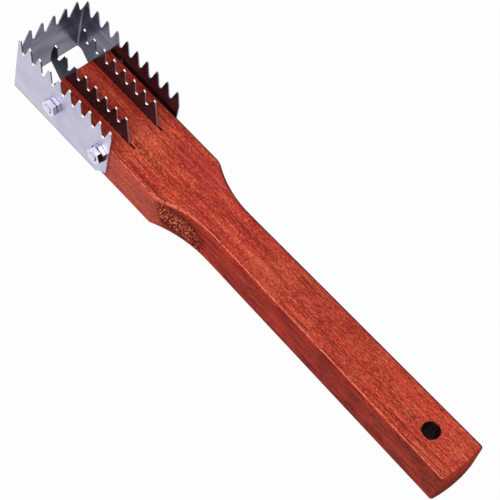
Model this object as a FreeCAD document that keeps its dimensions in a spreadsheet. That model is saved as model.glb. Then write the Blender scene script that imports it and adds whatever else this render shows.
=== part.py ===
"""Fish scaler: a wooden handle with a toothed steel band round its head.

The band is one strip bent into a U. Its upper edge is cut into tall saw teeth that run up one
flank, across the front wall and back down the other flank. Two toothed blades stand in saw
kerfs in the head of the handle, and two through bolts clamp band, wood and blades together.
Lengths are millimetres. The origin is on the axis of the hang hole, at the flat back of the
handle. +X runs from handle to head, +Y to the flank that carries the nuts, +Z to the teeth.
"""

import FreeCAD, Part
import math
import os
import Sketcher

doc = FreeCAD.newDocument("fish_scaler")

# Driving sizes
# Each row is an alias and its value. The order is handle, band, teeth, blades, fasteners.

VALUES = [
    ("board_thickness", 19.0),
    ("butt_reach", 19.0),
    ("butt_bow", 1.2),
    ("butt_half_width", 12.1),
    ("neck_from_hole", 116.0),
    ("neck_half_width", 10.3),
    ("near_shoulder_from_hole", 144.3),
    ("far_shoulder_from_hole", 141.8),
    ("far_shoulder_rounding", 8.0),
    ("butt_corner_rounding", 1.2),
    ("wood_front", 212.0),
    ("edge_rounding", 1.8),
    ("hang_hole_diameter", 7.6),
    ("window_length", 19.9),
    ("strip_width", 36.0),
    ("strip_height", 33.0),
    ("strip_thickness", 0.7),
    ("bend_radius", 0.8),
    ("near_flank_length", 60.1),
    ("far_flank_length", 62.45),
    ("corner_cut_length", 5.7),
    ("corner_cut_height", 4.8),
    ("tooth_pitch", 6.35),
    ("tooth_depth", 7.6),
    ("tip_flat_run", 1.04),
    ("tip_flat_drop", 0.6),
    ("valley_rounding", 0.9),
    ("flank_valley_lag", 3.4),
    ("wall_valley_lag", 2.86),
    ("near_first_tip", 1.12),
    ("far_first_tip", 2.59),
    ("wall_first_tip", 6.13),
    ("flank_gullets", 10),
    ("wall_gullets", 4),
    ("blade_thickness", 0.7),
    ("blade_from_middle", 7.5),
    ("left_blade_reach", 7.85),
    ("right_blade_reach", 7.35),
    ("blade_tip_height", 32.4),
    ("blade_bottom", 8.0),
    ("blade_nose_reach", 1.55),
    ("blade_nose_height", 20.6),
    ("blade_nose_radius", 24.0),
    ("blade_slant_run", 14.0),
    ("blade_tooth_depth", 6.8),
    ("blade_valley_lag", 3.0),
    ("blade_gullets", 7),
    ("blade_rear_lean", 7.3),
    ("left_kerf_overrun", 1.0),
    ("right_kerf_overrun", 0.5),
    ("kerf_clearance", 0.1),
    ("front_bolt_from_end", 6.9),
    ("rear_bolt_from_end", 35.8),
    ("front_bolt_height", 16.4),
    ("rear_bolt_height", 15.8),
    ("bolt_diameter", 4.0),
    ("bolt_hole_clearance", 0.1),
    ("bolt_head_height", 2.8),
    ("bolt_end_standout", 0.5),
    ("bolt_end_chamfer", 0.5),
    ("hex_across_flats", 7.0),
    ("nut_thickness", 2.2),
    ("hex_corner_chamfer", 0.2),
    ("front_inner_nut_turn", -10.0),
    ("front_outer_nut_turn", -10.0),
    ("rear_inner_nut_turn", 33.0),
    ("rear_outer_nut_turn", -3.0),
    ("cutter_margin", 1.0),
]

sheet = doc.addObject("Spreadsheet::Sheet", "Sizes")
for row, (alias, number) in enumerate(VALUES, start=1):
    sheet.set("A%d" % row, alias)
    sheet.set("B%d" % row, str(number))
    sheet.setAlias("B%d" % row, alias)
doc.recompute()


class Size:
    """A length that knows its value and the sheet expression it comes from."""

    def __init__(self, number, text):
        self.number = float(number)
        self.text = text

    def __add__(self, other):
        other = as_size(other)
        return Size(self.number + other.number, "(%s + %s)" % (self.text, other.text))

    def __sub__(self, other):
        other = as_size(other)
        return Size(self.number - other.number, "(%s - %s)" % (self.text, other.text))

    def __mul__(self, factor):
        return Size(self.number * factor, "(%s * %.9f)" % (self.text, factor))

    def __neg__(self):
        return self * -1.0

    def squared(self):
        return Size(self.number ** 2, "(%s * %s)" % (self.text, self.text))

    def root(self):
        return Size(math.sqrt(self.number), "sqrt(%s)" % self.text)


def as_size(item):
    if isinstance(item, Size):
        return item
    return Size(item, "%.9f" % item)


def size(alias):
    """The sheet cell of that name."""
    return Size(getattr(sheet, alias), "Sizes.%s" % alias)


ZERO = as_size(0.0)
margin = size("cutter_margin")
thickness = size("strip_thickness")
half_width = size("strip_width") * 0.5
# Head features are placed from the front end of the wood, so that they move with it.
wood_front = size("wood_front")
front = wood_front + size("window_length")
bend_outer = size("bend_radius") + thickness
bend_x = front - bend_outer
bend_y = half_width - bend_outer
inside_half = half_width - thickness
tip_z = size("strip_height")
valley_z = tip_z - size("tooth_depth")
pitch = size("tooth_pitch")
front_bolt_x = wood_front - size("front_bolt_from_end")
rear_bolt_x = wood_front - size("rear_bolt_from_end")
front_bolt_z = size("front_bolt_height")
rear_bolt_z = size("rear_bolt_height")

PARTS = []

# How close two places are to count as one, and how small a length or volume is to count as none.
NEAR = 1e-3
FLAT = 1e-6


# Sketch helpers

def new_body(label):
    body = doc.addObject("PartDesign::Body", label)
    body.Label = label
    PARTS.append(body)
    doc.recompute()
    return body


def origin_item(body, role):
    return [item for item in body.Origin.OriginFeatures if item.Role == role][0]


def new_sketch(body, name, plane):
    sketch = body.newObject("Sketcher::SketchObject", name)
    sketch.AttachmentSupport = [(origin_item(body, plane), "")]
    sketch.MapMode = "FlatFace"
    return sketch


def bind(sketch, kind, places, length):
    """One dimension between sketch points, driven by the sheet."""
    index = sketch.addConstraint(Sketcher.Constraint(kind, *places, length.number))
    sketch.setExpression("Constraints[%d]" % index, length.text)


def pin(sketch, edge, end, x, y):
    """Hold one end of an edge at x, y."""
    bind(sketch, "DistanceX", (-1, 1, edge, end), x)
    bind(sketch, "DistanceY", (-1, 1, edge, end), y)


def vector(point):
    return FreeCAD.Vector(point[0].number, point[1].number, 0)


def arc_through(start, end, radius, bulge):
    """An arc from start to end and its two end numbers, in the order start, end.

    Bulge is +1 where it swells to the right of the way there. The sketcher counts an arc's
    ends anticlockwise, so an arc that runs clockwise has its ends the other way round.
    """
    chord = end - start
    side = FreeCAD.Vector(chord.y, -chord.x, 0).normalize() * bulge
    reach = math.sqrt(radius ** 2 - (chord.Length / 2) ** 2)
    centre = (start + end) * 0.5 - side * reach
    angles = [math.atan2(point.y - centre.y, point.x - centre.x) for point in (start, end)]
    circle = Part.Circle(centre, FreeCAD.Vector(0, 0, 1), radius)
    if bulge > 0:
        return Part.ArcOfCircle(circle, angles[0], angles[1]), (1, 2)
    return Part.ArcOfCircle(circle, angles[1], angles[0]), (2, 1)


def draw_outline(sketch, corners, rounds=None):
    """Close a loop through the corners. Rounds maps an edge number to radius and bulge."""
    rounds = rounds or {}
    count = len(corners)
    ends = []
    for number in range(count):
        start = vector(corners[number])
        end = vector(corners[(number + 1) % count])
        if number in rounds:
            radius, bulge = rounds[number]
            arc, numbers = arc_through(start, end, radius.number, bulge)
            edge = sketch.addGeometry(arc, False)
            ends.append((edge,) + numbers)
            bind(sketch, "Radius", (edge,), radius)
        else:
            edge = sketch.addGeometry(Part.LineSegment(start, end), False)
            ends.append((edge, 1, 2))
    for number in range(count):
        edge, first, _last = ends[number]
        before, _first, last = ends[number - 1]
        sketch.addConstraint(Sketcher.Constraint("Coincident", before, last, edge, first))
        pin(sketch, edge, first, *corners[number])


def draw_gullet(sketch, tip, next_tip, top, flat, valley, radius):
    """The gap between two teeth: tip flat, steep edge, round valley, long edge, open above."""
    above = top + margin
    tip_point = vector((tip, top))
    flat_point = vector(flat)
    next_point = vector((next_tip, top))
    centre = vector((valley[0], valley[1] + radius))
    low_left = tangent_point(centre, radius.number, flat_point, next_point)
    low_right = tangent_point(centre, radius.number, next_point, flat_point)
    roof_far = vector((next_tip, above))
    roof_near = vector((tip, above))
    low_circle = Part.Circle(centre, FreeCAD.Vector(0, 0, 1), radius.number)
    turns = [math.atan2(p.y - centre.y, p.x - centre.x) for p in (low_left, low_right)]
    leftwards = low_right.x < low_left.x
    if leftwards:
        turns.reverse()
    arc_in, arc_out = (2, 1) if leftwards else (1, 2)
    shapes = [
        Part.LineSegment(tip_point, flat_point),
        Part.LineSegment(flat_point, low_left),
        Part.ArcOfCircle(low_circle, turns[0], turns[1]),
        Part.LineSegment(low_right, next_point),
        Part.LineSegment(next_point, roof_far),
        Part.LineSegment(roof_far, roof_near),
        Part.LineSegment(roof_near, tip_point),
    ]
    edges = [sketch.addGeometry(shape, False) for shape in shapes]
    join = Sketcher.Constraint
    sketch.addConstraint(join("Coincident", edges[0], 2, edges[1], 1))
    sketch.addConstraint(join("Tangent", edges[1], 2, edges[2], arc_in))
    sketch.addConstraint(join("Tangent", edges[2], arc_out, edges[3], 1))
    sketch.addConstraint(join("Coincident", edges[3], 2, edges[4], 1))
    sketch.addConstraint(join("Coincident", edges[4], 2, edges[5], 1))
    sketch.addConstraint(join("Coincident", edges[5], 2, edges[6], 1))
    sketch.addConstraint(join("Coincident", edges[6], 2, edges[0], 1))
    pin(sketch, edges[0], 1, tip, top)
    pin(sketch, edges[1], 1, *flat)
    pin(sketch, edges[4], 1, next_tip, top)
    pin(sketch, edges[5], 1, next_tip, above)
    pin(sketch, edges[6], 1, tip, above)
    pin(sketch, edges[2], 3, valley[0], valley[1] + radius)
    bind(sketch, "Radius", (edges[2],), radius)


def tangent_point(centre, radius, outside, other):
    """Where a line from outside touches the circle, on the side away from other."""
    gap = outside - centre
    angle = math.acos(radius / gap.Length)
    base = math.atan2(gap.y, gap.x)
    choices = []
    for turn in (angle, -angle):
        spoke = FreeCAD.Vector(math.cos(base + turn), math.sin(base + turn), 0) * radius
        choices.append(centre + spoke)
    return min(choices, key=lambda point: point.y)


def pad(body, name, sketch, length, reverse=False, both_ways=False):
    feature = body.newObject("PartDesign::Pad", name)
    feature.Profile = sketch
    feature.SideType = "Symmetric" if both_ways else "One side"
    feature.setExpression("Length", length.text)
    feature.Reversed = reverse
    doc.recompute()
    body.Tip = feature
    return feature


def pocket(body, name, sketch, length=None, reverse=False, both_ways=False):
    """A cut, checked to have taken something away."""
    before = body.Shape.Volume
    feature = body.newObject("PartDesign::Pocket", name)
    feature.Profile = sketch
    feature.SideType = "Symmetric" if both_ways else "One side"
    if length is None:
        feature.Type = "ThroughAll"
    else:
        feature.setExpression("Length", length.text)
    feature.Reversed = reverse
    doc.recompute()
    body.Tip = feature
    doc.recompute()
    if not body.Shape.Volume < before - FLAT:
        raise RuntimeError("%s cut nothing" % name)
    return feature


def row_of(body, name, feature, axis, spacing, count, reverse=False):
    """Repeat a cut along one axis of the body."""
    pattern = body.newObject("PartDesign::LinearPattern", name)
    pattern.Originals = [feature]
    pattern.Direction = (origin_item(body, axis), [""])
    pattern.Mode = "Spacing"
    pattern.setExpression("Offset", spacing.text)
    pattern.setExpression("Occurrences", count.text)
    pattern.Reversed = reverse
    doc.recompute()
    body.Tip = pattern
    doc.recompute()
    return pattern


def draw_circle(sketch, x, y, radius):
    circle = Part.Circle(vector((x, y)), FreeCAD.Vector(0, 0, 1), radius.number)
    edge = sketch.addGeometry(circle, False)
    pin(sketch, edge, 3, x, y)
    bind(sketch, "Radius", (edge,), radius)


def bolt_holes(body, name):
    """Both clearance holes for the through bolts, along Y."""
    sketch = new_sketch(body, name + "_sketch", "XZ_Plane")
    radius = size("bolt_diameter") * 0.5 + size("bolt_hole_clearance")
    draw_circle(sketch, front_bolt_x, front_bolt_z, radius)
    draw_circle(sketch, rear_bolt_x, rear_bolt_z, radius)
    reach = size("strip_width") + margin * 2.0
    pocket(body, name, sketch, reach, both_ways=True)


def round_edges(body, name, radius, chosen):
    base = body.Tip
    feature = body.newObject("PartDesign::Fillet", name)
    feature.Base = (base, chosen)
    feature.setExpression("Radius", radius.text)
    doc.recompute()
    body.Tip = feature
    doc.recompute()


# Wooden handle

handle = new_body("handle")
plan = new_sketch(handle, "handle_plan", "XY_Plane")

butt_x = -(size("butt_reach") - size("butt_bow"))
butt_half = size("butt_half_width")
neck_x = size("neck_from_hole")
neck_half = size("neck_half_width")
near_shoulder = size("near_shoulder_from_hole")
far_shoulder = size("far_shoulder_from_hole")
head_half = inside_half

# Each scoop is the arc that leaves the tapered bar without a corner and ends at its shoulder.
taper = FreeCAD.Vector((neck_x - butt_x).number, (neck_half - butt_half).number, 0)
side_way = FreeCAD.Vector(-taper.y, taper.x, 0).normalize()
# The butt bows out by its sagitta over the width of the bar.
butt_radius = (butt_half.squared() + size("butt_bow").squared()).number
butt_radius = butt_radius / (2.0 * size("butt_bow").number)


def scoop_radius(shoulder):
    step = FreeCAD.Vector((shoulder - neck_x).number, (head_half - neck_half).number, 0)
    return step.dot(step) / (2.0 * step.dot(side_way))


def handle_half(sign, shoulder):
    """Points of one side of the plan, from the front end to the butt."""
    return [
        (wood_front, head_half * sign),
        (shoulder, head_half * sign),
        (neck_x, neck_half * sign),
        (butt_x, butt_half * sign),
    ]


near_side = handle_half(1.0, near_shoulder)
far_side = handle_half(-1.0, far_shoulder)
loop = [vector(point) for point in near_side + far_side[::-1]]
near_scoop, near_ends = arc_through(loop[1], loop[2], scoop_radius(near_shoulder), -1.0)
butt_arc, butt_ends = arc_through(loop[3], loop[4], butt_radius, 1.0)
far_scoop, far_ends = arc_through(loop[5], loop[6], scoop_radius(far_shoulder), -1.0)
edges = [
    plan.addGeometry(Part.LineSegment(loop[0], loop[1]), False),
    plan.addGeometry(near_scoop, False),
    plan.addGeometry(Part.LineSegment(loop[2], loop[3]), False),
    plan.addGeometry(butt_arc, False),
    plan.addGeometry(Part.LineSegment(loop[4], loop[5]), False),
    plan.addGeometry(far_scoop, False),
    plan.addGeometry(Part.LineSegment(loop[6], loop[7]), False),
    plan.addGeometry(Part.LineSegment(loop[7], loop[0]), False),
]
order = [(1, 2), near_ends, (1, 2), butt_ends, (1, 2), far_ends, (1, 2), (1, 2)]
for number in range(8):
    kind = "Tangent" if number in (2, 5) else "Coincident"
    before = edges[number - 1]
    plan.addConstraint(
        Sketcher.Constraint(kind, before, order[number - 1][1], edges[number], order[number][0])
    )
for number, point in enumerate(near_side + far_side[::-1]):
    pin(plan, edges[number], order[number][0], *point)
bow_radius = (butt_half.squared() + size("butt_bow").squared()) * 0.5
bow_text = "%s / Sizes.butt_bow" % bow_radius.text
index = plan.addConstraint(Sketcher.Constraint("Radius", edges[3], butt_radius))
plan.setExpression("Constraints[%d]" % index, bow_text)

pad(handle, "handle_board", plan, size("board_thickness"))


def upright_edges(shape, x, sides):
    """Names of the upright edges at that x, on the given sides of the middle."""
    names = []
    for number, edge in enumerate(shape.Edges, start=1):
        box = edge.BoundBox
        upright = box.XLength < FLAT and box.YLength < FLAT
        if upright and abs(box.XMin - x.number) < NEAR and (box.YMin > 0) in sides:
            names.append("Edge%d" % number)
    return names


def outline_edges(shape):
    """Edges of the two flat faces, apart from those at the front end and along the head."""
    names = []
    top = size("board_thickness").number
    for number, edge in enumerate(shape.Edges, start=1):
        box = edge.BoundBox
        flat = box.ZLength < FLAT and (abs(box.ZMin) < FLAT or abs(box.ZMin - top) < FLAT)
        if flat and box.XMin < wood_front.number - NEAR:
            names.append("Edge%d" % number)
    return names


far_corner = upright_edges(handle.Shape, far_shoulder, (False,))
round_edges(handle, "far_shoulder", size("far_shoulder_rounding"), far_corner)
butt_corners = upright_edges(handle.Shape, butt_x, (True, False))
round_edges(handle, "butt_corners", size("butt_corner_rounding"), butt_corners)
round_edges(handle, "handle_rounding", size("edge_rounding"), outline_edges(handle.Shape))

# Two saw kerfs, open at the front end and at the top, as deep as the blades sit. Each runs on
# a little behind the lower rear corner of its blade.
kerf_half = size("blade_thickness") * 0.5 + size("kerf_clearance")
tooth_row = pitch * size("blade_gullets").number
for side, sign in (("left", 1.0), ("right", -1.0)):
    first_tip = wood_front + size(side + "_blade_reach")
    blade_rear = first_tip - tooth_row - size("blade_rear_lean")
    kerf_end = blade_rear - size(side + "_kerf_overrun")
    kerf = new_sketch(handle, "kerf_%s" % side, "XY_Plane")
    kerf.AttachmentOffset = FreeCAD.Placement(
        FreeCAD.Vector(0, 0, size("blade_bottom").number), FreeCAD.Rotation()
    )
    kerf.setExpression("AttachmentOffset.Base.z", "Sizes.blade_bottom")
    middle = size("blade_from_middle") * sign
    draw_outline(kerf, [
        (kerf_end, middle - kerf_half),
        (wood_front + margin, middle - kerf_half),
        (wood_front + margin, middle + kerf_half),
        (kerf_end, middle + kerf_half),
    ])
    pocket(handle, "saw_kerf_%s" % side, kerf, reverse=True)

hang = new_sketch(handle, "hang_hole_sketch", "XY_Plane")
draw_circle(hang, ZERO, ZERO, size("hang_hole_diameter") * 0.5)
pocket(handle, "hang_hole", hang, reverse=True)

bolt_holes(handle, "handle_bolt_holes")

# Toothed band

band = new_body("toothed_band")
near_rear = front - size("near_flank_length")
far_rear = front - size("far_flank_length")
bend_inner = size("bend_radius")

strip = new_sketch(band, "strip_plan", "XY_Plane")
draw_outline(strip, [
    (near_rear, half_width),
    (bend_x, half_width),
    (front, bend_y),
    (front, -bend_y),
    (bend_x, -half_width),
    (far_rear, -half_width),
    (far_rear, -inside_half),
    (bend_x, -inside_half),
    (front - thickness, -bend_y),
    (front - thickness, bend_y),
    (bend_x, inside_half),
    (near_rear, inside_half),
], {
    1: (bend_outer, -1.0),
    3: (bend_outer, -1.0),
    7: (bend_inner, 1.0),
    9: (bend_inner, 1.0),
})
pad(band, "strip", strip, tip_z)


def tooth_gullet(sketch, tip, way, lag):
    """The gap behind one tip, seen square to the strip. Way is the handle side, +1 or -1."""
    flat = (tip + size("tip_flat_run") * way, tip_z - size("tip_flat_drop"))
    valley = (tip + lag * way, valley_z)
    draw_gullet(sketch, tip, tip + pitch * way, tip_z, flat, valley, size("valley_rounding"))


# Flanks: each tooth is cut from the middle of the tool outwards through one flank only.
flank_cut = half_width + margin
near_tip = front - size("near_first_tip")
far_tip = front - size("far_first_tip")
for side, tip, outward in (("near", near_tip, False), ("far", far_tip, True)):
    gap = new_sketch(band, "%s_gullet_sketch" % side, "XZ_Plane")
    tooth_gullet(gap, tip, -1.0, size("flank_valley_lag"))
    first = pocket(band, "%s_gullet" % side, gap, flank_cut, reverse=outward)
    row_of(band, "%s_teeth" % side, first, "X_Axis", pitch, size("flank_gullets"), reverse=True)

# Front wall: the cuts run along X and stop well short of the flanks' teeth.
wall_tip = half_width - size("wall_first_tip")
wall = new_sketch(band, "wall_gullet_sketch", "YZ_Plane")
wall.AttachmentOffset = FreeCAD.Placement(
    FreeCAD.Vector(0, 0, bend_x.number), FreeCAD.Rotation()
)
wall.setExpression("AttachmentOffset.Base.z", bend_x.text)
tooth_gullet(wall, wall_tip, -1.0, size("wall_valley_lag"))
wall_first = pocket(band, "wall_gullet", wall, bend_outer + margin, reverse=True)
row_of(band, "wall_teeth", wall_first, "Y_Axis", pitch, size("wall_gullets"), reverse=True)

# The gaps at the two bends are part gullets. These shares of a whole gullet's sizes shape them.
NEAR_RISE, NEAR_ROUNDING = 0.8, 1.1
FAR_FLAT, FAR_RISE, FAR_LANDING = 0.7, 0.6, 0.3

# Near corner: the valley ahead of the tooth that stands on the bend. The flat part of the
# wall is cut along X, up to the bend, and the bend is cut square to its own middle.
roof = tip_z + margin
corner_valley = wall_tip + pitch - size("wall_valley_lag")
near_flat = new_sketch(band, "near_corner_sketch", "YZ_Plane")
near_flat.AttachmentOffset = FreeCAD.Placement(
    FreeCAD.Vector(0, 0, bend_x.number), FreeCAD.Rotation()
)
near_flat.setExpression("AttachmentOffset.Base.z", bend_x.text)
draw_outline(near_flat, [
    (wall_tip, tip_z),
    (corner_valley - size("valley_rounding"), valley_z + size("valley_rounding") * NEAR_RISE),
    (corner_valley, valley_z),
    (bend_y, valley_z),
    (bend_y, roof),
    (wall_tip, roof),
], {1: (size("valley_rounding") * NEAR_ROUNDING, 1.0)})
pocket(band, "near_corner_flat", near_flat, bend_outer + margin, reverse=True)

tip_in = bend_outer - size("near_first_tip")
tip_out = (bend_outer.squared() - tip_in.squared()).root()
diagonal = math.sqrt(0.5)
near_bend = new_sketch(band, "near_bend_sketch", "XZ_Plane")
near_bend.AttachmentOffset = FreeCAD.Placement(
    FreeCAD.Vector(bend_x.number, 0, -bend_y.number),
    FreeCAD.Rotation(FreeCAD.Vector(0, 1, 0), 135),
)
near_bend.setExpression("AttachmentOffset.Base.x", bend_x.text)
near_bend.setExpression("AttachmentOffset.Base.z", (-bend_y).text)
draw_outline(near_bend, [
    (-bend_outer * diagonal, valley_z),
    ((tip_out - tip_in) * diagonal, tip_z),
    ((tip_out - tip_in) * diagonal, roof),
    (-bend_outer * diagonal, roof),
])
pocket(band, "near_corner_bend", near_bend, bend_outer + margin, reverse=True)

# Far corner: the wall's last tooth drops to the bend, the strip stays low round the bend, and
# then it rises straight to the first tooth of the far flank.
last_tip = wall_tip - pitch * size("wall_gullets").number
far_flat = new_sketch(band, "far_corner_sketch", "YZ_Plane")
far_flat.AttachmentOffset = FreeCAD.Placement(
    FreeCAD.Vector(0, 0, bend_x.number), FreeCAD.Rotation()
)
far_flat.setExpression("AttachmentOffset.Base.z", bend_x.text)
draw_outline(far_flat, [
    (last_tip, tip_z),
    (last_tip - size("tip_flat_run") * FAR_FLAT, tip_z - size("tip_flat_drop")),
    (size("valley_rounding") * FAR_RISE - bend_y, valley_z + size("valley_rounding") * FAR_RISE),
    (-bend_y, valley_z),
    (-bend_y, roof),
    (last_tip, roof),
], {2: (size("valley_rounding"), -1.0)})
pocket(band, "far_corner_flat", far_flat, bend_outer + margin, reverse=True)

far_bend = new_sketch(band, "far_bend_sketch", "XZ_Plane")
far_bend.AttachmentOffset = FreeCAD.Placement(
    FreeCAD.Vector(0, 0, bend_y.number), FreeCAD.Rotation()
)
far_bend.setExpression("AttachmentOffset.Base.z", bend_y.text)
draw_outline(far_bend, [
    (far_tip, tip_z),
    (front - bend_outer * FAR_LANDING, valley_z),
    (front + margin, valley_z),
    (front + margin, roof),
    (far_tip, roof),
])
pocket(band, "far_corner_bend", far_bend, bend_outer + margin, reverse=True)

# The lower rear corners of both flanks are cut off.
for side, rear, outward in (("near", near_rear, False), ("far", far_rear, True)):
    corner = new_sketch(band, "%s_rear_corner_sketch" % side, "XZ_Plane")
    draw_outline(corner, [
        (rear - margin, -margin),
        (rear + size("corner_cut_length"), -margin),
        (rear + size("corner_cut_length"), ZERO),
        (rear, size("corner_cut_height")),
        (rear - margin, size("corner_cut_height")),
    ])
    pocket(band, "%s_rear_corner" % side, corner, flank_cut, reverse=outward)

bolt_holes(band, "band_bolt_holes")

# Inner blades


def make_blade(label, sign, first_tip):
    """A flat toothed blade that stands in its kerf, on the kerf's floor."""
    blade = new_body(label)
    top = size("blade_tip_height")
    last_tip = first_tip - tooth_row
    nose_x = first_tip + size("blade_nose_reach")
    nose_z = size("blade_nose_height")
    outline = new_sketch(blade, label + "_outline", "XZ_Plane")
    draw_outline(outline, [
        (last_tip - size("blade_rear_lean"), size("blade_bottom")),
        (nose_x - size("blade_slant_run"), size("blade_bottom")),
        (nose_x, nose_z),
        (first_tip, top),
        (last_tip, top),
        (last_tip - size("tip_flat_run"), top - size("tip_flat_drop")),
    ], {2: (size("blade_nose_radius"), 1.0)})
    pad(blade, label + "_plate", outline, size("blade_thickness"), both_ways=True)
    gap = new_sketch(blade, label + "_gullet_sketch", "XZ_Plane")
    flat = (first_tip - size("tip_flat_run"), top - size("tip_flat_drop"))
    valley = (first_tip - size("blade_valley_lag"), top - size("blade_tooth_depth"))
    draw_gullet(gap, first_tip, first_tip - pitch, top, flat, valley, size("valley_rounding"))
    reach = size("blade_thickness") + margin
    first = pocket(blade, label + "_gullet", gap, reach, both_ways=True)
    row_of(blade, label + "_teeth", first, "X_Axis", pitch, size("blade_gullets"), reverse=True)
    bolt_holes(blade, label + "_bolt_holes")
    place = size("blade_from_middle") * sign
    blade.Placement = FreeCAD.Placement(FreeCAD.Vector(0, place.number, 0), FreeCAD.Rotation())
    blade.setExpression("Placement.Base.y", place.text)
    doc.recompute()
    return blade


make_blade("inner_blade_left", 1.0, wood_front + size("left_blade_reach"))
make_blade("inner_blade_right", -1.0, wood_front + size("right_blade_reach"))

# Bolts and nuts

hex_corner = size("hex_across_flats") * (1.0 / math.sqrt(3.0))
shank_radius = size("bolt_diameter") * 0.5
# Turned so that a local Z becomes the row's Y, and a local X stays along X.
ALONG_Y = FreeCAD.Rotation(FreeCAD.Vector(1, 0, 0), -90)


def draw_hexagon(sketch):
    corners = []
    for number in range(6):
        turn = math.radians(60 * number)
        corners.append((hex_corner * math.cos(turn), hex_corner * math.sin(turn)))
    draw_outline(sketch, corners)


def bevel_hexagon(body, name, low, high):
    """Take the hexagon's sharp corners off at one or both faces with a turned groove."""
    drop = size("hex_corner_chamfer")
    run = drop * math.sqrt(3.0)
    for side, level, way in (("low", low, 1.0), ("high", high, -1.0)):
        if level is None:
            continue
        ring = new_sketch(body, "%s_%s_sketch" % (name, side), "XZ_Plane")
        draw_outline(ring, [
            (hex_corner - run, level),
            (hex_corner + margin, level),
            (hex_corner + margin, level + (drop + margin * math.sqrt(1.0 / 3.0)) * way),
        ])
        before = body.Shape.Volume
        groove = body.newObject("PartDesign::Groove", "%s_%s" % (name, side))
        groove.Profile = ring
        groove.ReferenceAxis = (ring, ["V_Axis"])
        groove.Angle = 360.0
        doc.recompute()
        body.Tip = groove
        doc.recompute()
        if not body.Shape.Volume < before - FLAT:
            raise RuntimeError("%s %s cut nothing" % (name, side))


def seat(body, axis, y, turn):
    """Put a fastener on its bolt axis, turned about that axis. Axis is the bolt's x and z."""
    x, z = axis
    spin = FreeCAD.Rotation(FreeCAD.Vector(0, 0, 1), turn.number)
    body.Placement = FreeCAD.Placement(
        FreeCAD.Vector(x.number, y.number, z.number), ALONG_Y.multiply(spin)
    )
    body.setExpression("Placement.Base.x", x.text)
    body.setExpression("Placement.Base.y", y.text)
    body.setExpression("Placement.Base.z", z.text)
    doc.recompute()


def make_bolt(label, axis, turn):
    """A hexagon headed bolt. Its head bears on the far flank, its end shows past the nuts."""
    bolt = new_body(label)
    head = new_sketch(bolt, label + "_head_sketch", "XY_Plane")
    draw_hexagon(head)
    pad(bolt, label + "_head", head, size("bolt_head_height"), reverse=True)
    bevel_hexagon(bolt, label + "_bevel", -size("bolt_head_height"), None)
    length = size("strip_width") + size("nut_thickness") * 2.0 + size("bolt_end_standout")
    chamfer = size("bolt_end_chamfer")
    turned = new_sketch(bolt, label + "_shank_sketch", "XZ_Plane")
    overlap = size("bolt_head_height") * 0.5
    draw_outline(turned, [
        (ZERO, -overlap),
        (shank_radius, -overlap),
        (shank_radius, length - chamfer),
        (shank_radius - chamfer, length),
        (ZERO, length),
    ])
    shank = bolt.newObject("PartDesign::Revolution", label + "_shank")
    shank.Profile = turned
    shank.ReferenceAxis = (turned, ["V_Axis"])
    shank.Angle = 360.0
    doc.recompute()
    bolt.Tip = shank
    doc.recompute()
    seat(bolt, axis, -half_width, turn)
    return bolt


def make_nut(label, axis, place, turn):
    """A thin hexagon nut, bored to the bolt. Place is 0 for the inner one and 1 for the outer."""
    nut = new_body(label)
    plan_view = new_sketch(nut, label + "_hexagon", "XY_Plane")
    draw_hexagon(plan_view)
    pad(nut, label + "_blank", plan_view, size("nut_thickness"))
    bevel_hexagon(nut, label + "_bevel", ZERO, size("nut_thickness"))
    bore = new_sketch(nut, label + "_bore_sketch", "XY_Plane")
    draw_circle(bore, ZERO, ZERO, shank_radius)
    pocket(nut, label + "_bore", bore, reverse=True)
    seat(nut, axis, half_width + size("nut_thickness") * place, turn)
    return nut


front_axis = (front_bolt_x, front_bolt_z)
rear_axis = (rear_bolt_x, rear_bolt_z)
make_bolt("front_bolt", front_axis, ZERO)
make_bolt("rear_bolt", rear_axis, ZERO)
make_nut("front_inner_nut", front_axis, 0.0, size("front_inner_nut_turn"))
make_nut("front_outer_nut", front_axis, 1.0, size("front_outer_nut_turn"))
make_nut("rear_inner_nut", rear_axis, 0.0, size("rear_inner_nut_turn"))
make_nut("rear_outer_nut", rear_axis, 1.0, size("rear_outer_nut_turn"))

# Checks and export

doc.recompute()
for item in doc.Objects:
    if "Invalid" in item.State or "Error" in item.State:
        raise RuntimeError("%s failed: %s" % (item.Name, item.State))
for piece in PARTS:
    shape = piece.Shape
    if shape.isNull() or not shape.isValid() or len(shape.Solids) != 1:
        raise RuntimeError("%s is not one valid solid" % piece.Label)

os.makedirs("parts", exist_ok=True)
for piece in PARTS:
    piece.Shape.exportStep("parts/%s.step" % piece.Label)
    box = piece.Shape.BoundBox
    print("%-18s volume %9.1f mm3  x %7.2f %7.2f  y %6.2f %6.2f  z %6.2f %6.2f" % (
        piece.Label, piece.Shape.Volume, box.XMin, box.XMax, box.YMin, box.YMax,
        box.ZMin, box.ZMax,
    ))
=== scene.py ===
# %% [markdown]
# # A fish scaler, dressed for its photograph
#
# A fish scaler scrapes the scales off a fish. This one is a red-stained wooden handle with a
# toothed steel band bent round its head and two toothed blades standing in saw kerfs. The
# CAD model gives every piece its size and place, in metres, so this lesson adds only what the
# eye wants: broken edges, wood grain, sheet steel, soft light and a camera.

# %% Load the frame
import math

import bmesh
import bpy
from mathutils import Matrix, Vector


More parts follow.
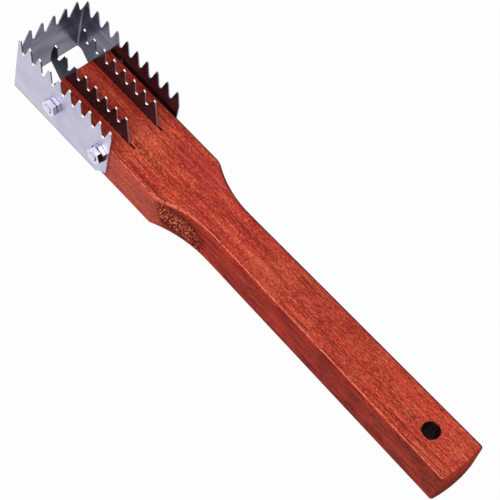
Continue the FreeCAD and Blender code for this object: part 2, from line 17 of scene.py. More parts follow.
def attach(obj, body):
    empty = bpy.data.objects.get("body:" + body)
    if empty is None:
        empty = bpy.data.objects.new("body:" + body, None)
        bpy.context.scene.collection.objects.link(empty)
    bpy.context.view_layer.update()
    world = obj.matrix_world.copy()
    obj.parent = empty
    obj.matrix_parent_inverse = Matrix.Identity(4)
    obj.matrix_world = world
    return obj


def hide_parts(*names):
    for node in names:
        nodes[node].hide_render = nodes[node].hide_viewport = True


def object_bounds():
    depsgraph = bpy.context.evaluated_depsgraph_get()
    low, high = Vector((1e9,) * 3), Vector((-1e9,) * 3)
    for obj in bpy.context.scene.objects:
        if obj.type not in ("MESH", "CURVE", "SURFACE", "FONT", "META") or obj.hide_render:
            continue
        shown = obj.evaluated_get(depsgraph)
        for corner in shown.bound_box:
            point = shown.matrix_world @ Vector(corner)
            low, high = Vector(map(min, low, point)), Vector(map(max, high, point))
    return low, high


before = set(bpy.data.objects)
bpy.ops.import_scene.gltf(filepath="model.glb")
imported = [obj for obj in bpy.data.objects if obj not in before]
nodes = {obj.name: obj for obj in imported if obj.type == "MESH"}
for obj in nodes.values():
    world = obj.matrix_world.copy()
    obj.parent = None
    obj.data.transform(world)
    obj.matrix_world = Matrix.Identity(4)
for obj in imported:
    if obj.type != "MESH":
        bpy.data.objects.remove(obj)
cad_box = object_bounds()
print("pieces from CAD:", sorted(nodes))

# %% [markdown]
# ## Places on the tool
#
# Painted shade, stain, wear and dirt sit where the pieces meet. The materials work in millimetres
# in the tool's own frame: x runs from the hang hole to the head, y to the side with the nuts, and z
# up to the teeth. Where the pieces meet is read from the boxes of the CAD pieces.

# %% Places read from the frame
MILLIMETRES = 1000.0


def box_of(node_name):
    """The low and high corners of a CAD piece, in millimetres."""
    node = nodes[node_name]
    corners = [(node.matrix_world @ Vector(corner)) * MILLIMETRES for corner in node.bound_box]
    low = [min(corner[axis] for corner in corners) for axis in range(3)]
    high = [max(corner[axis] for corner in corners) for axis in range(3)]
    return low, high


def bolt_axis(node_name):
    """The x and z of a bolt's axis, in millimetres."""
    low, high = box_of(node_name)
    return (low[0] + high[0]) / 2.0, (low[2] + high[2]) / 2.0


wood_high = box_of("handle")[1]
band_high = box_of("toothed_band")[1]
blade_low, blade_high = box_of("inner_blade_left")

WOOD_FRONT, BOARD_TOP = wood_high[0], wood_high[2]
BAND_FRONT, BAND_HALF = band_high[0], band_high[1]
BLADE_REAR = blade_low[0]
BLADE_FROM_MIDDLE = (blade_low[1] + blade_high[1]) / 2.0
SHEET = blade_high[1] - blade_low[1]
FLANK_INSIDE = BAND_HALF - SHEET
NUT_JOINT = box_of("front_inner_nut")[1][1]
BOLTS = [bolt_axis("front_bolt"), bolt_axis("rear_bolt")]
BETWEEN_BOLTS = (BOLTS[0][0] + BOLTS[1][0]) / 2.0
print("wood front %.1f, band front %.1f, blade rear %.1f mm" % (WOOD_FRONT, BAND_FRONT, BLADE_REAR))

# %% [markdown]
# ## A small language for shader maths
#
# A material is a graph of nodes, and a graph is hard to read as calls that link sockets. So
# one small class wraps a socket and overloads the arithmetic operators. `1 - mask` then
# builds the Math node by itself, and a material reads like a formula. Colours and vectors
# go through Mix and Vector Math nodes, because a Math node would turn a colour grey.

# %% Sockets that can be added and multiplied


class Sock:
    """A node's output socket, with operators that add Math nodes."""

    def __init__(self, graph, socket):
        self.graph = graph
        self.socket = socket

    def _math(self, operation, *values, clamp=False):
        return self.graph.node(
            "ShaderNodeMath", {"operation": operation, "use_clamp": clamp}, dict(enumerate(values))
        )

    def __add__(self, other):
        return self._math("ADD", self, other)

    __radd__ = __add__

    def __sub__(self, other):
        return self._math("SUBTRACT", self, other)

    def __rsub__(self, other):
        return self._math("SUBTRACT", other, self)

    def __mul__(self, other):
        return self._math("MULTIPLY", self, other)

    def __neg__(self):
        return self * -1.0

    def __pow__(self, other):
        return self._math("POWER", self, other)

    def abs(self):
        return self._math("ABSOLUTE", self)

    def sin(self):
        return self._math("SINE", self)

    def root(self):
        return self._math("SQRT", self)

    def clamp(self):
        return self._math("ADD", self, 0.0, clamp=True)

    def most(self, other):
        return self._math("MAXIMUM", self, other)

    def step(self, low, high):
        """0 below low, 1 above high, and smooth between."""
        return self.graph.node(
            "ShaderNodeMapRange",
            {"interpolation_type": "SMOOTHSTEP"},
            {"Value": self, "From Min": low, "From Max": high},
        )


class Graph:
    """One material's node tree."""

    def __init__(self, name):
        self.material = bpy.data.materials.new(name)
        self.material.use_nodes = True
        self.tree = self.material.node_tree
        self.tree.nodes.clear()

    def node(self, kind, settings=None, inputs=None, output=0):
        """Add a node: settings first, then values or links, and hand back one output."""
        made = self.tree.nodes.new(kind)
        for key, value in (settings or {}).items():
            setattr(made, key, value)
        for key, value in (inputs or {}).items():
            if isinstance(value, Sock):
                self.tree.links.new(value.socket, made.inputs[key])
            else:
                made.inputs[key].default_value = value
        return Sock(self, made.outputs[output])

    def ramp(self, tone, stops):
        """A colour ramp. Each stop is a tone and its colour."""
        made = self.tree.nodes.new("ShaderNodeValToRGB")
        elements = made.color_ramp.elements
        while len(elements) < len(stops):
            elements.new(0.5)
        for element, (place, colour) in zip(elements, stops):
            element.position = place
            element.color = (*colour, 1.0)
        self.tree.links.new(tone.socket, made.inputs[0])
        return Sock(self, made.outputs[0])

    def mix(self, factor, first, second):
        """Blend two colours: the first where the factor is 0, the second where it is 1."""
        made = self.tree.nodes.new("ShaderNodeMix")
        made.data_type = "RGBA"
        made.clamp_factor = True
        ends = [socket for socket in made.inputs if socket.type == "RGBA"]
        for socket, value in ((made.inputs[0], factor), (ends[0], first), (ends[1], second)):
            if isinstance(value, Sock):
                self.tree.links.new(value.socket, socket)
            elif isinstance(value, tuple):
                socket.default_value = (*value, 1.0)
            else:
                socket.default_value = value
        return Sock(self, [s for s in made.outputs if s.type == "RGBA"][0])

    def tinted(self, colour, tint, mask, share):
        """The colour with that share of the tint where the mask is 1."""
        return self.mix(mask * share, colour, tint)

    def noise(self, vector, scale=1.0, detail=2.0, roughness=0.5):
        """Soft noise, about 0.5 with most of it between 0.3 and 0.7."""
        return self.node(
            "ShaderNodeTexNoise",
            {"noise_dimensions": "3D"},
            {"Vector": vector, "Scale": scale, "Detail": detail, "Roughness": roughness},
        )

    def streaks(self, vector, repeats, detail, roughness=0.5):
        """Noise with its own repeats per millimetre on each axis: a small number draws it out."""
        stretched = self.node(
            "ShaderNodeVectorMath", {"operation": "MULTIPLY"}, {0: vector, 1: repeats}
        )
        return self.noise(stretched, detail=detail, roughness=roughness)

    def bump(self, height, distance, strength=1.0):
        """Turn a height in the range 0 to 1 into a normal. Distance is in metres."""
        return self.node(
            "ShaderNodeBump", None, {"Height": height, "Distance": distance, "Strength": strength}
        )

    def surface(self, **inputs):
        """The Principled shader at the end of the graph."""
        named = {key.replace("_", " "): value for key, value in inputs.items()}
        shader = self.node("ShaderNodeBsdfPrincipled", None, named)
        out = self.tree.nodes.new("ShaderNodeOutputMaterial")
        self.tree.links.new(shader.socket, out.inputs["Surface"])
        return self.material


class PieceGraph(Graph):
    """A material that knows, at each point, where it is on the tool and which way it faces.

    The place is the vector at, and x, y and z, in millimetres. The facing is face_x, face_y and
    face_z, each from -1 to 1.
    """

    def __init__(self, name):
        super().__init__(name)
        coordinates = self.node("ShaderNodeTexCoord", output="Object")
        self.at = self.node(
            "ShaderNodeVectorMath", {"operation": "SCALE"}, {0: coordinates, "Scale": MILLIMETRES}
        )
        facing = self.node("ShaderNodeNewGeometry", output="Normal")
        self.x, self.y, self.z = self._parts(self.at)
        self.face_x, self.face_y, self.face_z = self._parts(facing)

    def _parts(self, vector):
        return [
            self.node("ShaderNodeSeparateXYZ", None, {0: vector}, output=axis) for axis in range(3)
        ]


def rgb(red, green, blue):
    """A colour as a screen shows it, 0 to 255, as the linear numbers that a shader wants."""
    def linear(value):
        value = value / 255.0
        return value / 12.92 if value <= 0.04045 else ((value + 0.055) / 1.055) ** 2.4
    return tuple(linear(value) for value in (red, green, blue))


print("shader helpers ready")

# %% [markdown]
# ## Breaking the sharp edges
#
# No real edge is perfectly sharp. Sheared steel keeps a tiny rounding and wood is eased with
# sandpaper, and it is on those narrow faces that light glints. The CAD mesh is loose
# triangles, so a copy of it is merged, its flat faces are dissolved back to whole faces, and
# its sharp edges get a bevel.

# %% A refined copy of a CAD piece
MERGE_DISTANCE = 1e-6
BEVEL_MERGE_DISTANCE = 1e-7
FLAT_ANGLE = math.radians(0.6)
SHADING_ANGLE = math.radians(20.0)
BEVEL_SEGMENTS = 2


def refined(name, node_name, width, sharp, material):
    """A copy of a CAD node with eased edges, which stands for that node.

    Edges that turn by more than sharp degrees are eased by the width, in metres.
    """
    form = bmesh.new()
    form.from_mesh(nodes[node_name].data)
    form.transform(nodes[node_name].matrix_world)
    bmesh.ops.remove_doubles(form, verts=form.verts, dist=MERGE_DISTANCE)
    bmesh.ops.dissolve_limit(form, angle_limit=FLAT_ANGLE, verts=form.verts, edges=form.edges)
    edges = [
        edge for edge in form.edges
        if len(edge.link_faces) == 2 and edge.calc_face_angle(0.0) > math.radians(sharp)
    ]
    bmesh.ops.bevel(
        form, geom=edges, offset=width, offset_type="OFFSET", segments=BEVEL_SEGMENTS,
        profile=0.5, affect="EDGES", clamp_overlap=True, material=-1,
    )
    bmesh.ops.remove_doubles(form, verts=form.verts, dist=BEVEL_MERGE_DISTANCE)
    mesh = bpy.data.meshes.new(name)
    form.to_mesh(mesh)
    form.free()
    mesh.shade_smooth()
    mesh.set_sharp_from_angle(angle=SHADING_ANGLE)
    mesh.materials.append(material)
    piece = bpy.data.objects.new(name, mesh)
    bpy.context.scene.collection.objects.link(piece)
    weighted = piece.modifiers.new("weighted_normals", "WEIGHTED_NORMAL")
    weighted.keep_sharp = True
    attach(piece, "root")
    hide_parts(node_name)
    print("%-22s %6d faces, %d edges eased" % (name, len(mesh.polygons), len(edges)))


# %% [markdown]
# ## Red-stained wood
#
# The handle is an open-pored hardwood under a red stain. Grain runs along the handle, so
# every pattern is a noise that is drawn out along it: fibres, pores, long vessels, and the
# wavy lines of the growth rings. The patterns come first, each with a name, and the colours
# are then laid one over the other: the planed faces, the figure with painted shade between
# the blades, stain and painted shade on the sides, the end grain, and last the rubbed edges
# with a painted highlight, and painted shade on the far side and in the kerfs and hole.

# %% The wood's patterns


class Grain:
    """The patterns of the wood, each a number from about 0 to 1 at every point."""

    def __init__(self, g):
        # The grain wanders a little from the handle's axis.
        sway = g.streaks(g.at, (0.018, 0.05, 0.05), detail=1.0) - 0.5
        swayed = g.node(
            "ShaderNodeCombineXYZ", None, {0: g.x, 1: g.y + sway * 7.0, 2: g.z + sway * 4.0}
        )

        # Growth rings: slanting layers, which a soft noise bends into wavy lines.
        self.ring_noise = g.streaks(swayed, (0.012, 0.16, 0.16), detail=3.0, roughness=0.55)
        layers = (g.y * 0.62 + g.z * 0.5 + self.ring_noise * 26.0) * 1.45
        self.ring_line = ((layers.sin() * 0.5 + 0.5) ** 5.0).clamp()

        # Soft streaks of stain, short fibres, open pores and a few long dark vessels.
        self.streak = g.streaks(swayed, (0.02, 0.55, 0.55), detail=3.0)
        self.fibre = g.streaks(swayed, (0.45, 2.6, 2.6), detail=3.0, roughness=0.7)
        self.pore = g.streaks(swayed, (0.50, 3.2, 3.2), detail=1.0).step(0.60, 0.70)
        self.gold = g.streaks(swayed, (0.60, 2.9, 2.9), detail=2.0, roughness=0.7)
        self.vessel = g.streaks(swayed, (0.022, 1.7, 1.7), detail=1.0).step(0.60, 0.65)

        # Sanding grit and broad clouds, which don't follow the grain.
        self.grit = g.streaks(g.at, (1.1, 2.2, 2.2), detail=2.0, roughness=0.8)
        self.mottle = g.streaks(g.at, (0.05, 0.11, 0.11), detail=3.0, roughness=0.6)

        # What the stain did on the sides, and the flecks that the end grain shows.
        self.cloud = g.streaks(g.at, (0.09, 0.2, 0.16), detail=4.0, roughness=0.65)
        self.runs = g.streaks(swayed, (0.035, 0.3, 0.34), detail=4.0, roughness=0.65)
        self.flecks = g.streaks(g.at, (1.5, 1.8, 0.75), detail=2.0, roughness=0.7)


# %% The wood's colours
PLANED_WOOD = [
    (0.50, rgb(98, 22, 22)),
    (0.61, rgb(152, 44, 36)),
    (0.69, rgb(182, 65, 47)),
    (0.81, rgb(226, 114, 78)),
]
END_GRAIN = [
    (0.40, rgb(80, 14, 11)),
    (0.48, rgb(118, 31, 22)),
    (0.56, rgb(162, 66, 45)),
    (0.65, rgb(222, 148, 106)),
]
RING_BROWN = rgb(100, 26, 22)
PORE_RED = rgb(70, 14, 16)
VESSEL_RED = rgb(62, 14, 14)
GOLD = rgb(228, 132, 84)
HEAD_SHADE_RED = rgb(116, 20, 12)
GRIP_RED = rgb(112, 26, 30)
PLUM = rgb(146, 44, 50)
AMBER = rgb(196, 100, 56)
DEEP_STAIN_AND_SHADE = rgb(72, 5, 8)
FRESH_STAIN = rgb(186, 48, 36)
UPPER_STAIN = rgb(84, 14, 12)
STAIN_RUN = rgb(66, 6, 9)
THIN_STAIN = rgb(188, 74, 40)
PALE_SIDE = rgb(206, 104, 90)
CUT_RED = rgb(122, 30, 22)
BUTT_LOW = rgb(92, 20, 17)
BUTT_HIGH = rgb(140, 40, 32)
BUTT_FLECK = rgb(186, 78, 58)
RUBBED_EDGE_HIGHLIGHT = rgb(232, 140, 112)
FAR_SIDE_SHADE = rgb(60, 14, 20)
KERF_SHADE = rgb(26, 6, 5)
HOLE_SHADE = rgb(12, 3, 3)

# %% Planed faces and figure
# The stretch of the bar that hands have darkened, and the stretch over which painted shade
# darkens the wood between the blades, in millimetres from the hang hole.
GRIP_REAR, GRIP_FRONT = 30.0, 110.0
HEAD_SHADE_START, HEAD_SHADE_FULL = 172.0, 184.0
# A patch has its middle in x and y, and how fast it fades along them per millimetre.
GOLD_PATCH = (BLADE_REAR - 2.1, 3.0), (0.055, 0.09)
PLUM_PATCH = (141.0, -9.0), (0.06, 0.12)


def planed(g, grain):
    """The colour along the grain: a blend of patterns, then rings, pores and vessels."""
    tone = grain.streak * 0.22 + grain.fibre * 0.42 + grain.mottle * 0.16 + grain.grit * 0.52
    colour = g.ramp(tone, PLANED_WOOD)
    colour = g.tinted(colour, RING_BROWN, grain.ring_line, share=0.22)
    colour = g.tinted(colour, PORE_RED, grain.pore, share=0.50)
    return g.tinted(colour, VESSEL_RED, grain.vessel, share=0.62)


def patch(g, middle, per_millimetre, solid):
    """1 round a place on the top face. It fades as the scaled distance grows past solid."""
    along = ((g.x - middle[0]) * per_millimetre[0]).abs()
    across = ((g.y - middle[1]) * per_millimetre[1]).abs()
    return 1.0 - (along + across).step(solid, solid + 1.0)


def figured(g, grain, colour):
    """Flecks of gold, painted shade on the wood between the blades, a dark grip, plum and amber
    clouds.

    The gold comes up where the figure of the wood turns towards the light: behind the blades,
    and here and there along the bar. Near the far shoulder the stain turns plum.
    """
    behind_blades = patch(g, *GOLD_PATCH, solid=0.3)
    figure = (grain.mottle + grain.ring_noise * 0.6).step(0.80, 1.00) * 0.55
    flecked = grain.gold.step(0.48, 0.66) * figure.most(behind_blades)
    colour = g.tinted(colour, GOLD, flecked, share=0.60)
    # Painted shade: the wood between the blades, deep in the head, gets darker towards the front.
    head_shade = g.x.step(HEAD_SHADE_START, HEAD_SHADE_FULL)
    colour = g.tinted(colour, HEAD_SHADE_RED, head_shade, share=0.24)
    grip = (GRIP_FRONT - g.x).step(-10.0, 20.0) * (g.x - GRIP_REAR).step(-10.0, 10.0)
    colour = g.tinted(colour, GRIP_RED, grip, share=0.13)
    plum = patch(g, *PLUM_PATCH, solid=0.4).most(grain.mottle.step(0.56, 0.68) * 0.7)
    colour = g.tinted(colour, PLUM, plum, share=0.30)
    amber = (1.0 - grain.streak.step(0.36, 0.47)) * (GRIP_FRONT - g.x).step(0.0, 30.0)
    return g.tinted(colour, AMBER, amber * grain.fibre.step(0.40, 0.60), share=0.40)


# %% Sides, end grain and edges
# Where the neck widens into the head, where the near scoop starts at the top of the board, where
# the scoops end on the bar, and where the butt starts, in millimetres from the hang hole.
HEAD_START = 138.0
NEAR_SHOULDER = 144.4
SCOOP_REAR = 60.0
BUTT_START = -10.0
# How far the scoop's edge leans back for each millimetre down the board, and how fast the stripe
# of end grain drops along the scoop from its height at the shoulder.
SHOULDER_LEAN = 0.30
STRIPE_DROP, STRIPE_HEIGHT = 0.36, 13.0
# Half the width of the painted shade in a kerf, the kerf's rear end and the edge of the painted
# shade in the hang hole.
KERF_HALF = SHEET / 2.0 + 0.19
KERF_REAR = BLADE_REAR - 1.2
HOLE_EDGE = 4.05
# How far up the rounding faces where the pale line of wear and painted highlight starts and ends.
LINE_START, LINE_END = (0.84, 0.92), (0.955, 0.985)


def stained_and_shaded_sides(g, grain, colour):
    """Sides darker than the top: stain with painted shade, most of all along the bar."""
    head = (g.x - HEAD_START).step(-6.0, 6.0)
    side = (1.0 - g.face_z.abs()).step(0.04, 0.30)
    fresh = grain.cloud.step(0.38, 0.62) * 0.5 + g.x.step(-10.0, 120.0) * 0.5
    stain = g.mix(fresh, DEEP_STAIN_AND_SHADE, FRESH_STAIN)
    stain = g.tinted(stain, UPPER_STAIN, g.z.step(9.0, 17.0) * (1.0 - grain.fibre), share=0.5)
    stain = g.tinted(stain, STAIN_RUN, grain.runs.step(0.48, 0.62), share=0.75)
    stain = g.tinted(stain, THIN_STAIN, 1.0 - grain.runs.step(0.34, 0.46), share=0.35)
    # Stain and painted shade: the sides take a darker colour than the planed top, with the stain's
    # clouds and runs.
    colour = g.tinted(colour, stain, side * (1.0 - head), share=0.66)
    return g.tinted(colour, PALE_SIDE, side * head, share=grain.grit * 0.46 + 0.06)


def end_grained(g, grain, colour):
    """End grain: flecks of bare golden wood between dark stained pores.

    It starts where the near scoop cuts the fibres, at a line that leans back towards the bottom
    of the board, and runs down and back across the scoop until it fades in dashes on the neck.
    The far scoop, which is cut less deep, shows it where it turns more. Hands back the colour,
    and where the end grain of the scoops and of the butt is.
    """
    run = NEAR_SHOULDER + (g.z - BOARD_TOP) * SHOULDER_LEAN - g.x
    behind = run.step(-0.6, 1.0) * (g.x - SCOOP_REAR).step(0.0, 10.0)
    upright = 1.0 - g.face_z.abs().step(0.25, 0.60)
    far = (-g.face_y).step(0.0, 0.2)
    turned = g.face_x.abs().step(0.01 + far * 0.06, 0.06 + far * 0.34)
    cut_across = turned * behind * upright
    reddened = cut_across * (1.0 - run.step(10.0, 26.0))
    colour = g.tinted(colour, CUT_RED, reddened, share=0.6)
    off_stripe = (g.z - STRIPE_HEIGHT + run * STRIPE_DROP).abs()
    end = cut_across * (1.0 - off_stripe.step(6.5, 9.0)) * (1.0 - run.step(14.0, 27.0) * 0.6)
    faded = off_stripe.step(3.5, 9.0).most(run.step(12.0, 27.0))
    colour = g.mix(end, colour, g.ramp(grain.flecks - faded * 0.13, END_GRAIN))

    # The butt is end grain too, under more stain.
    butt = (-g.face_x).step(0.55, 0.95) * (BUTT_START - g.x).step(0.0, 4.0)
    butt_tone = g.mix(g.z.step(6.0, 16.0), BUTT_LOW, BUTT_HIGH)
    butt_tone = g.tinted(butt_tone, BUTT_FLECK, grain.flecks.step(0.44, 0.62), share=0.8)
    return g.tinted(colour, butt_tone, butt, share=0.85), end, butt


def edged(g, grain, colour):
    """A pale line of wear and painted highlight on the near top edge, painted shade on the far
    side, in the kerfs and in the hole.
    """
    # Part wear, part painted highlight: a broken pale line where the near rounding meets the top.
    line = g.face_z.step(*LINE_START) * (1.0 - g.face_z.step(*LINE_END))
    wear_and_highlight = line * g.face_y.step(0.1, 0.2) * grain.fibre.step(0.38, 0.56)
    colour = g.tinted(colour, RUBBED_EDGE_HIGHLIGHT, wear_and_highlight, share=0.65)
    # Painted shade on the faces that turn to the far side.
    colour = g.tinted(colour, FAR_SIDE_SHADE, (-g.face_y).step(0.10, 0.5), share=0.80)
    # Painted shade in the kerfs behind the blades.
    off_kerf = (g.y.abs() - BLADE_FROM_MIDDLE).abs()
    kerf = (KERF_HALF - off_kerf).step(0.0, 0.10) * (g.x - KERF_REAR).step(0.0, 2.0)
    colour = g.tinted(colour, KERF_SHADE, kerf, share=0.85)
    # Painted shade in the hang hole, with a ragged rim.
    from_hole = (g.x * g.x + g.y * g.y).root() + (grain.grit - 0.5) * 1.6
    return g.tinted(colour, HOLE_SHADE, (HOLE_EDGE - from_hole).step(-0.10, 0.15), share=0.98)


# %% The wood's material
WOOD_RELIEF = 0.00016


def stained_wood():
    g = PieceGraph("stained_wood")
    grain = Grain(g)
    colour = planed(g, grain)
    colour = figured(g, grain, colour)
    colour = stained_and_shaded_sides(g, grain, colour)
    colour, end, butt = end_grained(g, grain, colour)
    colour = edged(g, grain, colour)
    roughness = 0.50 + (grain.fibre - 0.5) * 0.35 + grain.pore * 0.18 + end * 0.15 + butt * 0.5
    height = grain.fibre * 0.5 + grain.grit * 0.35 - grain.pore * 0.9 - grain.vessel * 0.5
    height = height + end * grain.flecks * 0.6
    return g.surface(
        Base_Color=colour, Roughness=roughness.clamp(), Normal=g.bump(height, WOOD_RELIEF, 0.75),
        IOR=1.46, Specular_IOR_Level=0.05, Coat_Weight=0.0,
    )


wood_material = stained_wood()
print("wood:", len(wood_material.node_tree.nodes), "nodes")

# %% [markdown]
# ## Sheet steel
#
# The band and blades are bright sheet steel, cut and bent cold. Such steel mirrors what is
# round it, only softly: faint rolling lines and finger marks blur the picture. One function
# makes that plain sheet. What differs from piece to piece goes in a shade function: where the
# steel is smeared, scuffed or burred, and where it has painted shade, highlights and reflections.

# %% The steels' colours
WHITE = (1.0, 1.0, 1.0)
BAND_BRIGHT, BAND_DARK = rgb(222, 219, 238), rgb(198, 195, 214)
INSIDE_SHADE_PALE, INSIDE_SHADE_DARK = rgb(132, 129, 146), rgb(106, 103, 120)
INSIDE_SHADE_BLUE = rgb(114, 122, 150)
SCUFF_GREY = rgb(176, 172, 186)
BURR_AND_SHADE_GREY = rgb(104, 98, 106)
# The blades' base colours are the band's steel in painted shade.
BLADE_SHADE_LIGHT, BLADE_SHADE_DARK = rgb(94, 112, 138), rgb(82, 98, 124)
SHEARED_REFLECTION_GREY = rgb(170, 148, 154)
WINDOW_REFLECTION_SLATE = rgb(66, 67, 84)
PLATE_BRIGHT, PLATE_DARK = rgb(243, 244, 255), rgb(224, 225, 244)
HIDDEN_SHANK = rgb(104, 66, 48)
FRONT_FACET_SHADE = rgb(150, 148, 170)
REAR_FACET_SHADE = rgb(34, 40, 66)
CREASE_SHADE_BLACK = rgb(18, 16, 22)

# %% The steels' shades and materials
THREAD_RADIUS = 2.02
BURR_SHADE_LOW, BURR_SHADE_HIGH = 0.20, 0.60
STEEL_RELIEF = 0.00002


def band_shade(g, base):
    """Painted shade inside the band, with smears; a painted highlight on the near flank's cut
    edges.
    """
    skin_y, skin_x = BAND_HALF - SHEET / 2.0, BAND_FRONT - SHEET / 2.0
    inside = (skin_y - g.y.abs()).step(-0.05, 0.05) * (skin_x - g.x).step(-0.05, 0.05)
    outside = 1.0 - inside
    smear = g.streaks(g.at, (0.05, 0.05, 0.22), detail=3.0, roughness=0.6)
    # Painted shade: the band's inside faces take darker steel colours, smeared, and bluish beside
    # the wood.
    smeared_inside_shade = g.mix(smear.step(0.38, 0.62), INSIDE_SHADE_DARK, INSIDE_SHADE_PALE)
    beside_wood = (WOOD_FRONT - g.x).step(1.5, 5.5)
    base = g.mix(inside, base, g.mix(beside_wood, smeared_inside_shade, INSIDE_SHADE_BLUE))
    scuff = g.streaks(g.at, (0.10, 1.0, 1.6), detail=3.0, roughness=0.7)
    base = g.tinted(base, SCUFF_GREY, scuff.step(0.56, 0.72) * outside, share=0.35)
    # Partly burr, partly painted shade: the band's outer faces darken at the bottom edge, on the
    # floor.
    burr_and_shade = (1.0 - g.z.step(BURR_SHADE_LOW, BURR_SHADE_HIGH)) * outside
    base = g.tinted(base, BURR_AND_SHADE_GREY, burr_and_shade, share=0.85)
    # Painted highlight, partly rubbed bright: up-facing cut edges on the near flank turn white.
    wear_and_highlight = g.face_z.step(0.30, 0.45) * (g.y - FLANK_INSIDE).step(-0.3, -0.1)
    return g.mix(wear_and_highlight, base, WHITE), 1.0 - wear_and_highlight * 0.6, outside * 0.30


def blade_shade(g, base):
    """Painted shade makes the blades dark; a painted highlight, partly polish, whitens tips and
    valleys.
    """
    # Painted highlight, partly polished by the fish: faces that look up, at tips and valleys, turn
    # white.
    wear_and_highlight = g.face_z.step(0.50, 0.72)
    # Partly sheared steel, partly painted reflection: cut edges that face the handle are paler.
    sheared_and_reflecting = (-g.face_x).step(0.55, 0.85)
    base = g.tinted(base, SHEARED_REFLECTION_GREY, sheared_and_reflecting, share=0.6)
    # Painted reflection: in front of the wood the blades take a dark slate colour.
    in_window = (g.x - WOOD_FRONT).step(-3.0, 1.0)
    base = g.tinted(base, WINDOW_REFLECTION_SLATE, in_window, share=0.9)
    metal = (0.975 - sheared_and_reflecting * 0.5 - wear_and_highlight * 0.3).clamp()
    return g.mix(wear_and_highlight, base, WHITE), metal, 0.0


def fastener_shade(g, base):
    """Painted shade where the nuts meet each other and the band, round the bolts' ends, and on
    facets facing the handle.
    """
    # Painted shade in the creases, heaviest on the lower half round each bolt's thread.
    joint = 1.0 - (g.y - NUT_JOINT).abs().step(0.14, 0.30)
    foot = 1.0 - (g.y - BAND_HALF).abs().step(0.05, 0.22)
    crease_shade = joint.most(foot)
    for bolt_x, bolt_z in BOLTS:
        off_x, off_z = g.x - bolt_x, g.z - bolt_z
        from_thread = ((off_x * off_x + off_z * off_z).root() - THREAD_RADIUS).abs()
        ring = 1.0 - from_thread.step(0.10, 0.28)
        lower_half = (-off_z).step(-0.6, 0.8)
        crease_shade = crease_shade.most(ring * (0.35 + lower_half * 0.65))
    hidden = (FLANK_INSIDE - g.y.abs()).step(-0.05, 0.05)
    base = g.tinted(base, HIDDEN_SHANK, hidden, share=0.95)
    # Painted reflection and shade: facets that face the handle are darker, and darkest on the rear
    # nuts.
    facing_hand = (-g.face_x).step(0.35, 0.80)
    rear = (BETWEEN_BOLTS - g.x).step(-1.0, 1.0)
    base = g.tinted(base, FRONT_FACET_SHADE, facing_hand * (1.0 - rear), share=0.6)
    base = g.tinted(base, REAR_FACET_SHADE, facing_hand * rear, share=0.95)
    return g.tinted(base, CREASE_SHADE_BLACK, crease_shade, share=0.95), 1.0, 0.0


def sheet_steel(name, bright, dark, roughness, shade, rolled=1.0):
    """Bright sheet. Rolled is how strongly the rolling lines show.

    Shade takes the graph and the colour, and hands back the colour, how far the surface is
    metal and what is added to its roughness.
    """
    g = PieceGraph(name)
    lines = g.streaks(g.at, (0.25, 0.25, 7.0), detail=3.0, roughness=0.7)
    cloud = g.noise(g.at, scale=0.11, detail=4.0, roughness=0.6)
    speck = g.noise(g.at, scale=2.4, detail=2.0, roughness=0.6).step(0.66, 0.74)
    base = g.mix((cloud * 1.9 - 0.45 + (lines - 0.5) * 0.5).clamp(), dark, bright)
    base = g.tinted(base, tuple(part * 0.55 for part in dark), speck, share=0.22)
    base, metal, matt = shade(g, base)
    blur = (cloud - 0.5) * 0.16 + (lines - 0.5) * 0.12 * rolled + speck * 0.1
    relief = g.bump(lines * 0.6 + cloud * 0.8, STEEL_RELIEF * rolled, 0.5)
    return g.surface(
        Base_Color=base, Metallic=metal, Roughness=(blur + matt + roughness).clamp(),
        Normal=relief,
    )


band_material = sheet_steel("band_steel", BAND_BRIGHT, BAND_DARK, 0.24, band_shade)
blade_material = sheet_steel("blade_steel", BLADE_SHADE_LIGHT, BLADE_SHADE_DARK, 0.22, blade_shade)
fastener_material = sheet_steel(
    "fastener_steel", PLATE_BRIGHT, PLATE_DARK, 0.24, fastener_shade, rolled=0.4
)
print("steels ready")

# %% [markdown]
# ## The pieces
#
# Each piece of the tool is now a refined copy of its CAD node: an eased edge of about a tenth
# of a millimetre on the steel, and a little more on the wood.

# %% Dress every piece
WOOD_EASE = 0.00018
STEEL_EASE = 0.00012
BOARD_SHARP, SHEET_SHARP, FASTENER_SHARP = 40.0, 28.0, 24.0
FASTENERS = (
    "front_bolt", "rear_bolt", "front_inner_nut", "front_outer_nut",
    "rear_inner_nut", "rear_outer_nut",
)

refined("wooden_handle", "handle", WOOD_EASE, BOARD_SHARP, wood_material)
refined("steel_band", "toothed_band", STEEL_EASE, SHEET_SHARP, band_material)
for side in ("left", "right"):
    refined(
        side + "_blade", "inner_blade_" + side, STEEL_EASE, SHEET_SHARP, blade_material,
    )
for fastener in FASTENERS:
    refined(
        "dressed_" + fastener, fastener, STEEL_EASE, FASTENER_SHARP, fastener_material,
    )

# %% [markdown]
# ## Floor, backdrop and light
#
# A product photograph is lit by large soft lamps over a white ground. Through Light Path the
# floor glows white to the camera and in reflections. It keeps a small share of its own
# shading, so a trace of the tool's soft shadow stays.

# %% The floor
FLOOR_GREY = (0.50, 0.50, 0.50)
GLOW_TO_CAMERA, GLOW_IN_REFLECTIONS = 0.97, 0.74
FLOOR_SIZE = 3.0
FLOOR_MIDDLE_X = 0.1
FLOOR_GAP = 0.0002


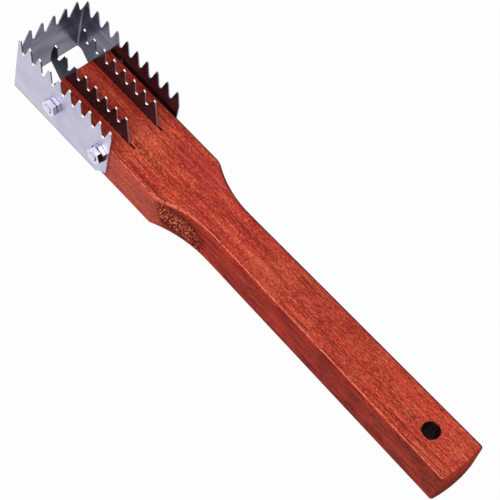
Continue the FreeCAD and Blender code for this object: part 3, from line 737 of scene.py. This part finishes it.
def white_floor():
    g = Graph("white_floor")
    camera = g.node("ShaderNodeLightPath", output="Is Camera Ray")
    glossy = g.node("ShaderNodeLightPath", output="Is Glossy Ray")
    share = (camera * GLOW_TO_CAMERA + glossy * GLOW_IN_REFLECTIONS).clamp()
    paint = g.node("ShaderNodeBsdfDiffuse", None, {"Color": (*FLOOR_GREY, 1.0)})
    glow = g.node("ShaderNodeEmission", None, {"Color": (*WHITE, 1.0), "Strength": 1.0})
    blend = g.node("ShaderNodeMixShader", None, {0: share, 1: paint, 2: glow})
    out = g.tree.nodes.new("ShaderNodeOutputMaterial")
    g.tree.links.new(blend.socket, out.inputs["Surface"])
    return g.material


floor_form = bmesh.new()
bmesh.ops.create_grid(floor_form, x_segments=1, y_segments=1, size=FLOOR_SIZE)
floor_mesh = bpy.data.meshes.new("floor")
floor_form.to_mesh(floor_mesh)
floor_form.free()
floor = bpy.data.objects.new("floor", floor_mesh)
floor.location = (FLOOR_MIDDLE_X, 0.0, cad_box[0][2] - FLOOR_GAP)
floor_mesh.materials.append(white_floor())
bpy.context.scene.collection.objects.link(floor)

# %% The world and the lamps
WORLD_STRENGTH = 0.62
LAMP_TARGET = (0.11, 0.0, 0.01)
# Each lamp has a name, a place, a width in metres and a power in watts.
LAMPS = [
    ("key", (-0.30, 0.70, 1.10), 0.7, 9.0),
    ("fill", (0.80, 0.60, 0.90), 0.8, 5.0),
    ("back", (0.50, -0.80, 1.00), 0.7, 4.0),
]


def soft_lamp(name, place, width, watts):
    """A square area lamp that looks at the tool."""
    light = bpy.data.lights.new(name, "AREA")
    light.shape = "SQUARE"
    light.size = width
    light.energy = watts
    lamp = bpy.data.objects.new(name, light)
    lamp.location = place
    aim = Vector(LAMP_TARGET) - Vector(place)
    lamp.rotation_euler = aim.to_track_quat("-Z", "Y").to_euler()
    bpy.context.scene.collection.objects.link(lamp)


world = bpy.data.worlds.new("studio")
bpy.context.scene.world = world
world.use_nodes = True
background = world.node_tree.nodes["Background"]
background.inputs["Color"].default_value = (*WHITE, 1.0)
background.inputs["Strength"].default_value = WORLD_STRENGTH
for lamp_row in LAMPS:
    soft_lamp(*lamp_row)
print("floor, world and lamps ready")

# %% [markdown]
# ## The camera
#
# The photograph was taken from behind and above the handle's left side with a long lens. The
# numbers come from matching the teeth, the board and the hole with the picture: a place, a
# way of looking and a focal length.

# %% The camera at the photograph's angle
FOCAL_PIXELS = 1868.496
IMAGE_PIXELS = 500.0
SENSOR_WIDTH = 36.0
CAMERA_PLACE = (-0.10690, 0.33705, 0.65794)
CAMERA_RIGHT = (-0.668592, -0.725930, 0.161279)
CAMERA_DOWN = (-0.689235, 0.523514, -0.500887)


def photo_camera():
    """Set up the camera from its place and from where its picture's right and down point."""
    data = bpy.data.cameras.new("photo_camera")
    data.sensor_width = SENSOR_WIDTH
    data.lens = FOCAL_PIXELS / IMAGE_PIXELS * data.sensor_width
    camera = bpy.data.objects.new("photo_camera", data)
    right, down = Vector(CAMERA_RIGHT), Vector(CAMERA_DOWN)
    ahead = right.cross(down)
    turn = Matrix((right, -down, -ahead)).transposed()
    camera.matrix_world = Matrix.Translation(CAMERA_PLACE) @ turn.to_4x4()
    bpy.context.scene.collection.objects.link(camera)
    bpy.context.scene.camera = camera


photo_camera()
bpy.context.scene.view_settings.view_transform = "Standard"
print("camera at", CAMERA_PLACE)
